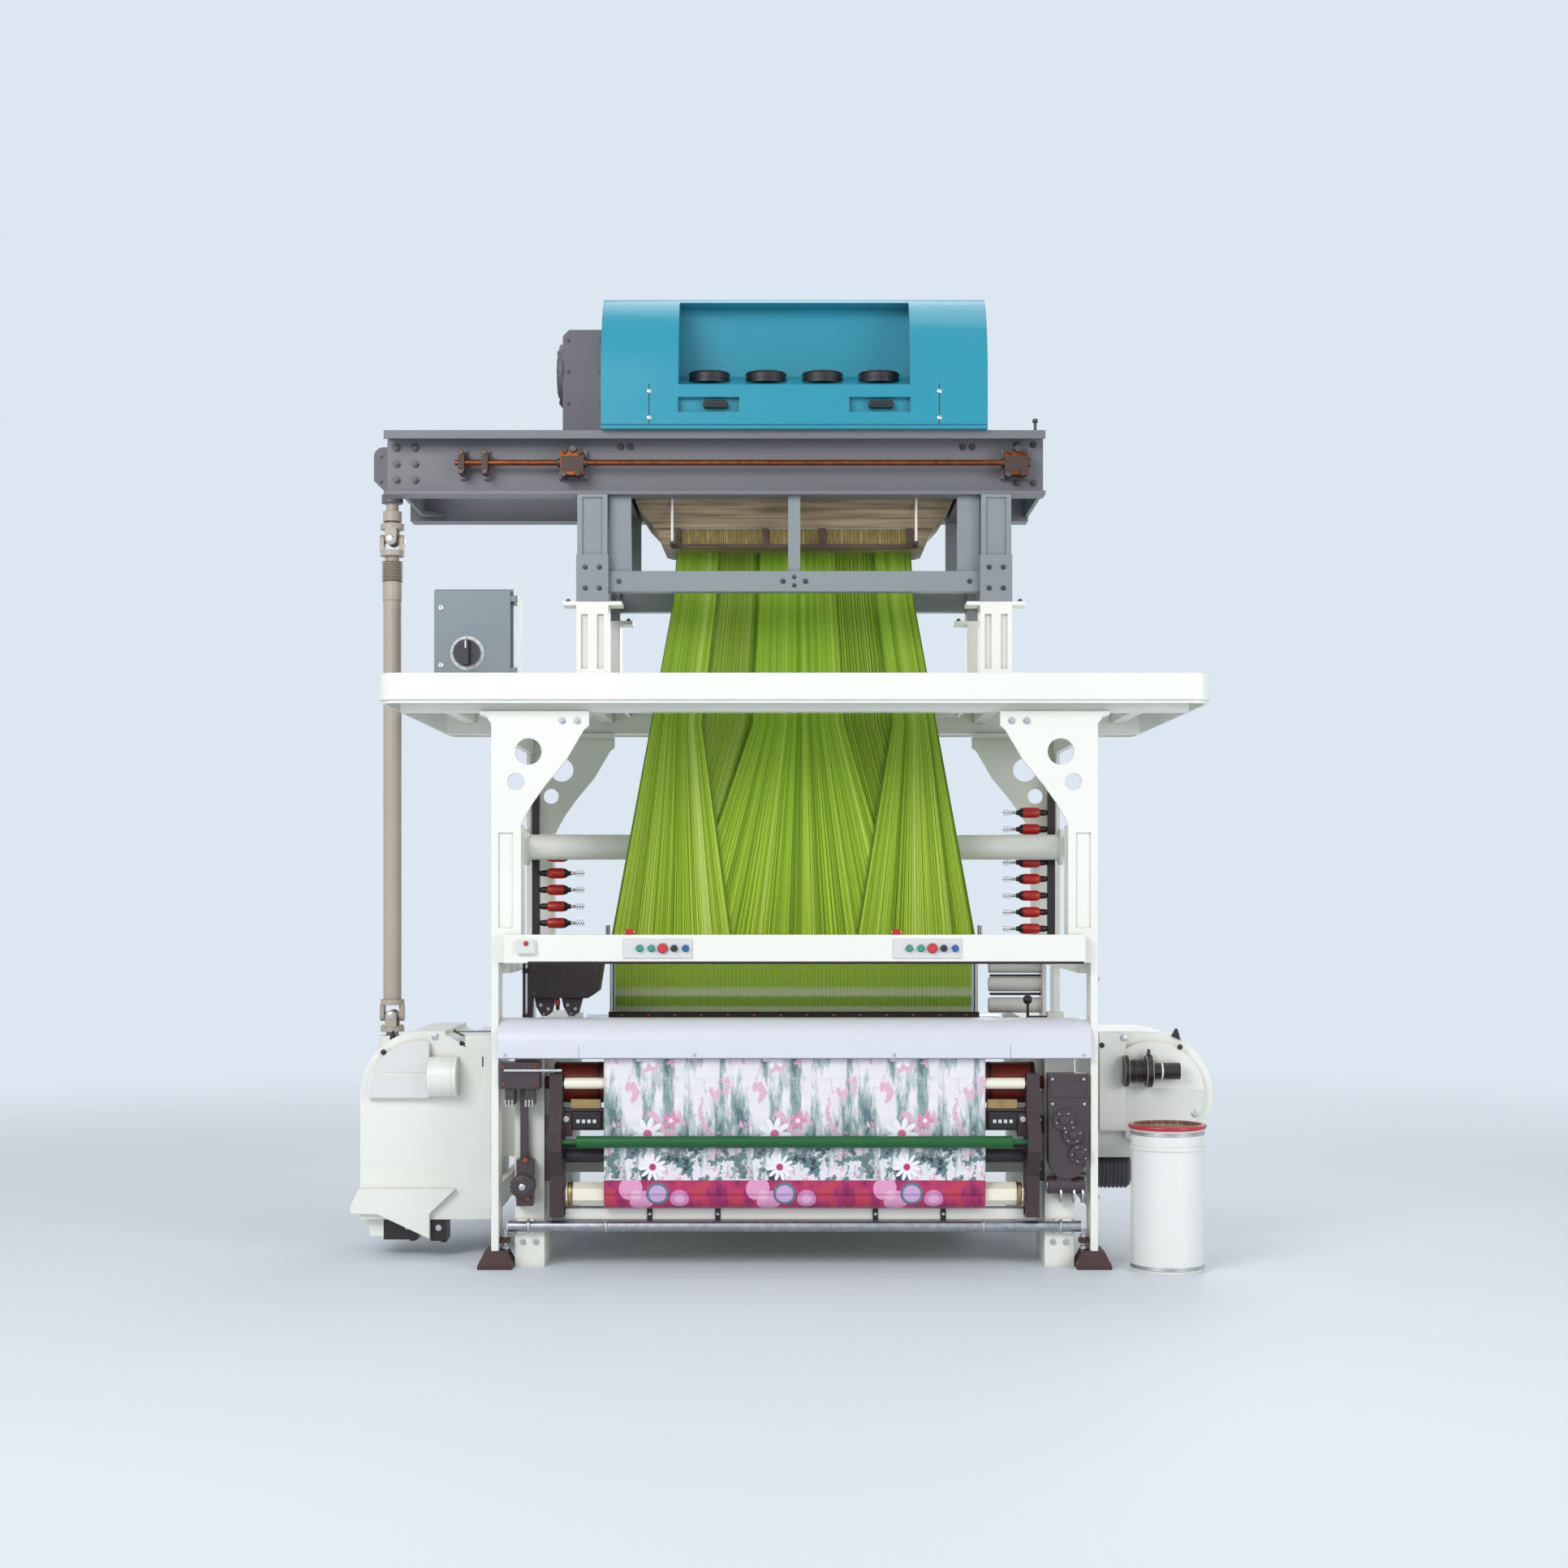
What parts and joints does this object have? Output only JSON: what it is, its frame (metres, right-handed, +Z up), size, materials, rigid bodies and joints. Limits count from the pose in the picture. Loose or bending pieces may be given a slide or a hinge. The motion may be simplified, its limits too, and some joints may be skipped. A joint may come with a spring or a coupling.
{
  "type": "power loom",
  "caption": "Narrow-fabric rapier loom under a gantry with a walkway deck, a teal electronic pattern head, green harness, woven cloth on its take-up rollers and a side cardan drive.",
  "frame": {"origin": "on the floor, midway between the four anchor holes of the gantry's feet", "axes": "+X to the weaver's right, along the cloth's width; -Y towards the weaver; +Z up"},
  "size_m": [2.687, 1.5924, 3.02],
  "materials": {
    "white_paint": "semi-gloss white enamel",
    "lilac_paint": "satin pale grey enamel",
    "cabinet_grey": "satin grey paint",
    "beam_grey": "satin grey paint",
    "post_grey": "satin light grey paint",
    "teal_paint": "gloss teal enamel",
    "gear_grey": "hammered dark grey paint",
    "dark_iron": "oiled dark casting",
    "foot_brown": "painted casting",
    "copper_rod": "brown drawn copper",
    "tan_board": "matte tan paint",
    "comber_wood": "oiled plywood",
    "steel": "ground steel",
    "aluminium": "drawn aluminium",
    "heddle_steel": "drawn wire",
    "maroon_rubber": "ground rubber",
    "green_rubber": "smooth rubber",
    "cream_sleeve": "polished sleeve",
    "black_plastic": "moulded",
    "green_plastic": "moulded",
    "red_plastic": "moulded",
    "blue_plastic": "moulded",
    "rapier_tape": "laminated tape",
    "cardan_beige": "satin beige paint",
    "harness_cord": "twisted green cord",
    "warp_yarn": "wound yarn",
    "woven_cloth": "woven satin"
  },
  "bodies": {
    "root": {"levelling_feet": "foot_brown", "gantry_frame": "white_paint", "walkway_deck": "white_paint", "deck_posts": "white_paint", "head_frame": "post_grey", "top_frame": "beam_grey", "beam_rod": "copper_rod", "jacquard_housing": "teal_paint", "drive_gearboxes": "gear_grey", "harness_board": "tan_board", "control_cabinet": "cabinet_grey", "loom_frame_left": "white_paint", "loom_frame_right": "white_paint", "cross_bars": "white_paint", "cloth_cradle": "dark_iron", "breast_cover": "lilac_paint", "drive_housing": "white_paint", "rapier_cover": "white_paint", "harness": "harness_cord", "comber_board": "comber_wood", "warp_sheet": "warp_yarn", "cloth": "woven_cloth", "take_up_drives": "dark_iron", "weft_selector": "black_plastic", "tensioner_racks": "red_plastic", "button_bar": "white_paint", "waste_can": "white_paint"},
    "cabinet_door": {"cabinet_door": "cabinet_grey"},
    "main_switch": {"main_switch": "black_plastic"},
    "rapier_wheel_left": {"rapier_wheel_left": "aluminium"},
    "rapier_wheel_right": {"rapier_wheel_right": "aluminium"},
    "rapier_left": {"rapier_left": "rapier_tape"},
    "rapier_right": {"rapier_right": "rapier_tape"},
    "sley": {"sley": "steel", "reed": "steel"},
    "heddles_front": {"heddles_front": "heddle_steel"},
    "heddles_rear": {"heddles_rear": "heddle_steel"},
    "warp_beam": {"warp_beam": "aluminium"},
    "backrest_roller": {"backrest_roller": "steel"},
    "take_up_roller": {"take_up_roller": "maroon_rubber"},
    "press_roller": {"press_roller": "cream_sleeve"},
    "spreader_roller": {"spreader_roller": "green_rubber"},
    "guide_roller": {"guide_roller": "black_plastic"},
    "cloth_roller": {"cloth_roller": "woven_cloth"},
    "weft_finger_1": {"weft_finger_1": "dark_iron"},
    "weft_finger_2": {"weft_finger_2": "dark_iron"},
    "hand_lever": {"hand_lever": "black_plastic"},
    "cardan": {"cardan_shaft": "cardan_beige", "cardan_joints": "cardan_beige"},
    "head_drive_shaft": {"head_drive_shaft": "steel"},
    "button_left_1": {"button_left_1": "green_plastic"},
    "button_left_2": {"button_left_2": "green_plastic"},
    "button_left_stop": {"button_left_stop": "red_plastic"},
    "button_left_4": {"button_left_4": "black_plastic"},
    "button_left_5": {"button_left_5": "blue_plastic"},
    "button_right_1": {"button_right_1": "green_plastic"},
    "button_right_2": {"button_right_2": "green_plastic"},
    "button_right_stop": {"button_right_stop": "red_plastic"},
    "button_right_4": {"button_right_4": "black_plastic"},
    "button_right_5": {"button_right_5": "blue_plastic"}
  },
  "joints": [
    {"name": "cardan_spin", "type": "hinge", "parent": "root", "child": "cardan", "pos_m": [-1.298, -0.03, 1.5], "axis": [0, 0, 1], "continuous": true},
    {"name": "head_drive_shaft_spin", "type": "hinge", "parent": "root", "child": "head_drive_shaft", "pos_m": [-1, -0.03, 2.49], "axis": [1, 0, 0], "continuous": true},
    {"name": "rapier_wheel_left_turn", "type": "hinge", "parent": "root", "child": "rapier_wheel_left", "pos_m": [-1.157, -0.105, 0.511], "axis": [0, 1, 0], "range_deg": [0, 197]},
    {"name": "rapier_wheel_right_turn", "type": "hinge", "parent": "root", "child": "rapier_wheel_right", "pos_m": [1.115, -0.105, 0.511], "axis": [0, -1, 0], "range_deg": [0, 197]},
    {"name": "rapier_left_slide", "type": "slide", "parent": "root", "child": "rapier_left", "axis": [1, 0, 0], "range_m": [0, 0.62]},
    {"name": "rapier_right_slide", "type": "slide", "parent": "root", "child": "rapier_right", "axis": [-1, 0, 0], "range_m": [0, 0.62]},
    {"name": "sley_swing", "type": "hinge", "parent": "root", "child": "sley", "pos_m": [0, -0.055, 0.3], "axis": [-1, 0, 0], "range_deg": [-17.5, 0]},
    {"name": "heddles_front_lift", "type": "slide", "parent": "root", "child": "heddles_front", "axis": [0, 0, 1], "range_m": [-0.03, 0.03]},
    {"name": "heddles_rear_lift", "type": "slide", "parent": "root", "child": "heddles_rear", "axis": [0, 0, 1], "range_m": [-0.03, 0.03]},
    {"name": "warp_beam_spin", "type": "hinge", "parent": "root", "child": "warp_beam", "pos_m": [0, 0.64, 0.33], "axis": [1, 0, 0], "continuous": true},
    {"name": "backrest_roller_spin", "type": "hinge", "parent": "root", "child": "backrest_roller", "pos_m": [0, 0.82, 0.644], "axis": [1, 0, 0], "continuous": true},
    {"name": "take_up_roller_spin", "type": "hinge", "parent": "root", "child": "take_up_roller", "pos_m": [0, -0.435, 0.557], "axis": [1, 0, 0], "continuous": true},
    {"name": "press_roller_spin", "type": "hinge", "parent": "root", "child": "press_roller", "pos_m": [0, -0.5155, 0.56], "axis": [1, 0, 0], "continuous": true},
    {"name": "spreader_roller_spin", "type": "hinge", "parent": "root", "child": "spreader_roller", "pos_m": [0, -0.5575, 0.387], "axis": [1, 0, 0], "continuous": true},
    {"name": "guide_roller_spin", "type": "hinge", "parent": "root", "child": "guide_roller", "pos_m": [0, -0.5015, 0.341], "axis": [1, 0, 0], "continuous": true},
    {"name": "cloth_roller_spin", "type": "hinge", "parent": "root", "child": "cloth_roller", "pos_m": [0, -0.4895, 0.224], "axis": [1, 0, 0], "continuous": true},
    {"name": "cabinet_door_swing", "type": "hinge", "parent": "root", "child": "cabinet_door", "pos_m": [-0.876, -0.245, 1.94], "axis": [0, 0, 1], "range_deg": [0, 110]},
    {"name": "main_switch_turn", "type": "hinge", "parent": "cabinet_door", "child": "main_switch", "pos_m": [-1.026, -0.255, 1.888], "axis": [0, 1, 0], "range_deg": [0, 90]},
    {"name": "hand_lever_swing", "type": "hinge", "parent": "root", "child": "hand_lever", "pos_m": [0.75, -0.275, 0.744], "axis": [1, 0, 0], "range_deg": [-30, 30]},
    {"name": "weft_finger_1_dip", "type": "slide", "parent": "root", "child": "weft_finger_1", "axis": [0, 0, 1], "range_m": [-0.025, 0], "stiffness_N_per_m": 1500, "springref_m": 0.03},
    {"name": "weft_finger_2_dip", "type": "slide", "parent": "root", "child": "weft_finger_2", "axis": [0, 0, 1], "range_m": [-0.025, 0], "stiffness_N_per_m": 1500, "springref_m": 0.03},
    {"name": "button_left_1_press", "type": "slide", "parent": "root", "child": "button_left_1", "axis": [0, 1, 0], "range_m": [0, 0.004], "stiffness_N_per_m": 400, "springref_m": -0.004},
    {"name": "button_left_2_press", "type": "slide", "parent": "root", "child": "button_left_2", "axis": [0, 1, 0], "range_m": [0, 0.004], "stiffness_N_per_m": 400, "springref_m": -0.004},
    {"name": "button_left_stop_press", "type": "slide", "parent": "root", "child": "button_left_stop", "axis": [0, 1, 0], "range_m": [0, 0.004], "stiffness_N_per_m": 400, "springref_m": -0.004},
    {"name": "button_left_4_press", "type": "slide", "parent": "root", "child": "button_left_4", "axis": [0, 1, 0], "range_m": [0, 0.004], "stiffness_N_per_m": 400, "springref_m": -0.004},
    {"name": "button_left_5_press", "type": "slide", "parent": "root", "child": "button_left_5", "axis": [0, 1, 0], "range_m": [0, 0.004], "stiffness_N_per_m": 400, "springref_m": -0.004},
    {"name": "button_right_1_press", "type": "slide", "parent": "root", "child": "button_right_1", "axis": [0, 1, 0], "range_m": [0, 0.004], "stiffness_N_per_m": 400, "springref_m": -0.004},
    {"name": "button_right_2_press", "type": "slide", "parent": "root", "child": "button_right_2", "axis": [0, 1, 0], "range_m": [0, 0.004], "stiffness_N_per_m": 400, "springref_m": -0.004},
    {"name": "button_right_stop_press", "type": "slide", "parent": "root", "child": "button_right_stop", "axis": [0, 1, 0], "range_m": [0, 0.004], "stiffness_N_per_m": 400, "springref_m": -0.004},
    {"name": "button_right_4_press", "type": "slide", "parent": "root", "child": "button_right_4", "axis": [0, 1, 0], "range_m": [0, 0.004], "stiffness_N_per_m": 400, "springref_m": -0.004},
    {"name": "button_right_5_press", "type": "slide", "parent": "root", "child": "button_right_5", "axis": [0, 1, 0], "range_m": [0, 0.004], "stiffness_N_per_m": 400, "springref_m": -0.004}
  ],
  "couplings": [
    {"joint": "head_drive_shaft_spin", "follows": "cardan_spin", "ratio": 1},
    {"joint": "rapier_wheel_right_turn", "follows": "rapier_wheel_left_turn", "ratio": 1},
    {"joint": "rapier_left_slide", "follows": "rapier_wheel_left_turn", "m_per_rad": 0.18},
    {"joint": "rapier_right_slide", "follows": "rapier_wheel_left_turn", "m_per_rad": 0.18},
    {"joint": "heddles_rear_lift", "follows": "heddles_front_lift", "ratio": -1},
    {"joint": "backrest_roller_spin", "follows": "warp_beam_spin", "ratio": 4.0909},
    {"joint": "take_up_roller_spin", "follows": "warp_beam_spin", "ratio": 3.629},
    {"joint": "press_roller_spin", "follows": "warp_beam_spin", "ratio": 13.235},
    {"joint": "spreader_roller_spin", "follows": "warp_beam_spin", "ratio": -12.5},
    {"joint": "guide_roller_spin", "follows": "warp_beam_spin", "ratio": 10.714},
    {"joint": "cloth_roller_spin", "follows": "warp_beam_spin", "ratio": 5}
  ]
}
